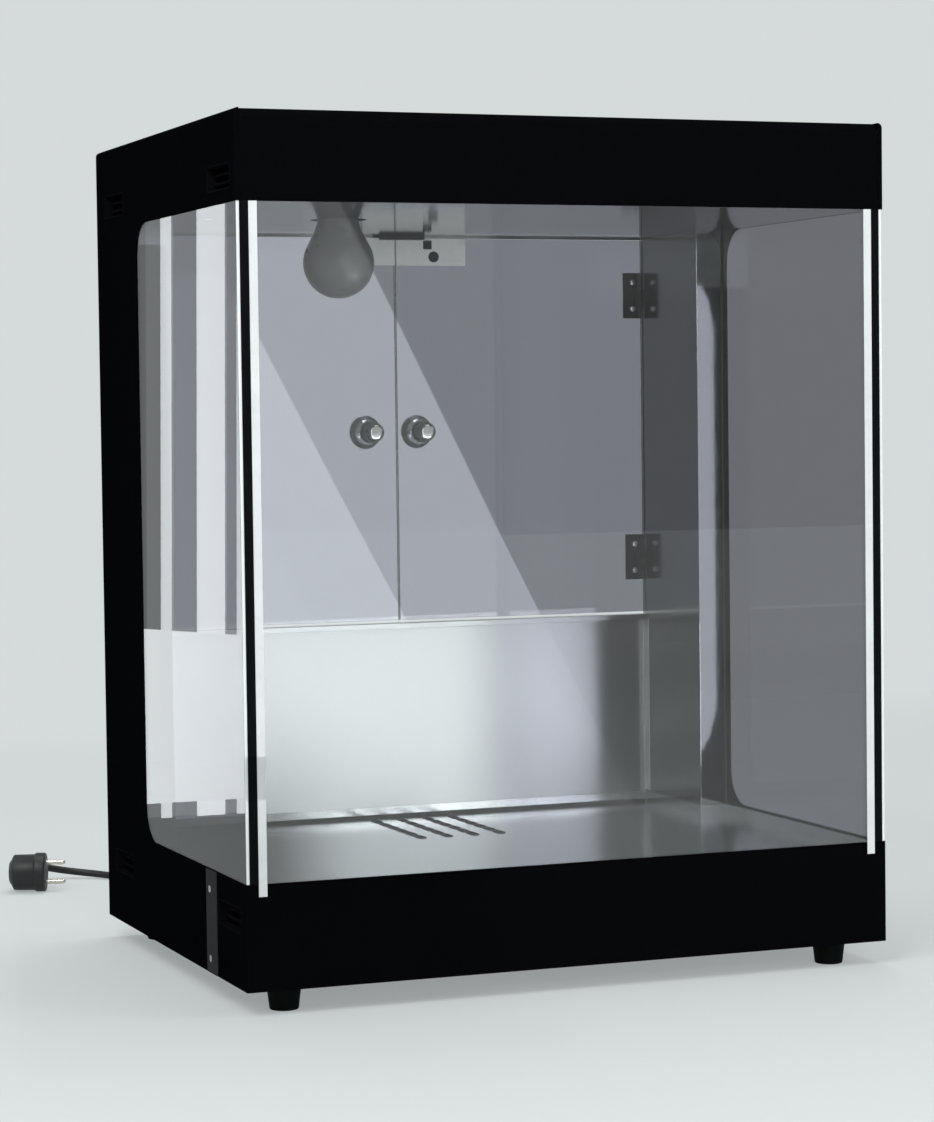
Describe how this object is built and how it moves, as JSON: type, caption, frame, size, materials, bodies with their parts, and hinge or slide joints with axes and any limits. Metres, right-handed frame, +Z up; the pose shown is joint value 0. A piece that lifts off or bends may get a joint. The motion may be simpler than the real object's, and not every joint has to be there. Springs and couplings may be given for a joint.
{
  "type": "chip warmer",
  "caption": "Tabletop glass display warmer with black hood and base, clear rear doors, hanging lamp and a fan heater blowing through a slotted floor.",
  "frame": {"origin": "on the table, below the middle of the rectangle covered by the cabinet with its door knobs", "axes": "+X to the right seen from the front, +Y from the glass front to the doors at the back, +Z up"},
  "size_m": [0.587, 0.7792, 0.7],
  "materials": {
    "black_paint": "satin",
    "post_black": "matte",
    "galvanised": "dull",
    "stainless": "brushed",
    "bright_edge": "satin",
    "clear_glass": "clear",
    "clear_door": "clear",
    "seal_rubber": "matte",
    "hinge_metal": "satin",
    "screw_metal": "satin",
    "knob_metal": "polished",
    "catch_black": "matte",
    "plate_white": "satin",
    "pad_rubber": "matte",
    "bracket_metal": "dull",
    "holder_white": "glazed",
    "bulb_frost": "frosted",
    "cap_metal": "bright",
    "rod_metal": "oxidised",
    "fan_black": "matte",
    "block_white": "matte",
    "lead_black": "matte",
    "switch_black": "gloss",
    "rocker_white": "gloss",
    "rocker_red": "gloss",
    "foot_rubber": "matte",
    "tie_plastic": "matte",
    "plug_plastic": "matte",
    "pin_metal": "plated"
  },
  "bodies": {
    "cabinet": {"base_pan": "galvanised", "base_front": "black_paint", "base_rear_panel": "black_paint", "joint_strips": "bright_edge", "side_frame_left": "black_paint", "side_frame_right": "black_paint", "vent_grilles": "catch_black", "column_left": "stainless", "column_right": "stainless", "glass_seals": "seal_rubber", "side_glass_left": "clear_glass", "side_glass_right": "clear_glass", "corner_posts": "post_black", "front_glass": "clear_glass", "edge_strips": "bright_edge", "floor_tray": "stainless", "lower_rear_panel": "stainless", "hood_shell": "black_paint", "ceiling_panel": "stainless", "rear_top_rail": "black_paint", "panel_screws": "screw_metal", "hinge_leaves_fixed": "hinge_metal", "hinge_pins": "screw_metal", "hinge_screws_fixed": "screw_metal", "catch_magnet": "catch_black", "lamp_bracket": "bracket_metal", "lamp_holder": "holder_white", "bulb_glass": "bulb_frost", "bulb_cap": "cap_metal", "heater_duct": "stainless", "heating_rod": "rod_metal", "fan_frame": "fan_black", "terminal_block": "block_white", "inner_leads": "lead_black", "switch_bodies": "switch_black", "feet": "foot_rubber", "foot_screws": "screw_metal", "strain_relief": "lead_black", "cord_out": "lead_black", "cord_coil": "lead_black", "cord_lead": "lead_black", "coil_tie": "tie_plastic", "plug_body": "plug_plastic", "plug_pins": "pin_metal"},
    "door_left": {"door_left": "clear_door", "hinge_leaves_left": "hinge_metal", "hinge_screws_left": "screw_metal", "knob_left": "knob_metal", "knob_cap_left": "knob_metal", "catch_plate_left": "plate_white"},
    "door_right": {"door_right": "clear_door", "hinge_leaves_right": "hinge_metal", "hinge_screws_right": "screw_metal", "knob_right": "knob_metal", "knob_cap_right": "knob_metal", "catch_plate_right": "plate_white", "catch_pads": "pad_rubber"},
    "fan_rotor": {"fan_rotor": "fan_black"},
    "lamp_rocker": {"lamp_rocker": "rocker_white"},
    "heat_rocker": {"heat_rocker": "rocker_red"}
  },
  "joints": [
    {"name": "left_door_swing", "type": "hinge", "parent": "cabinet", "child": "door_left", "pos_m": [-0.2485, 0.2035, 0.451], "axis": [0, 0, 1], "range_deg": [0, 170]},
    {"name": "right_door_swing", "type": "hinge", "parent": "cabinet", "child": "door_right", "pos_m": [0.2485, 0.2035, 0.451], "axis": [0, 0, -1], "range_deg": [0, 170]},
    {"name": "fan_spin", "type": "hinge", "parent": "cabinet", "child": "fan_rotor", "pos_m": [0.004, 0.116, 0.0437], "axis": [0, 0, 1], "continuous": true},
    {"name": "lamp_switch", "type": "hinge", "parent": "cabinet", "child": "lamp_rocker", "pos_m": [0.15, 0.2, 0.058], "axis": [1, 0, 0], "range_deg": [0, 14]},
    {"name": "heat_switch", "type": "hinge", "parent": "cabinet", "child": "heat_rocker", "pos_m": [0.19, 0.2, 0.058], "axis": [1, 0, 0], "range_deg": [0, 14]}
  ]
}
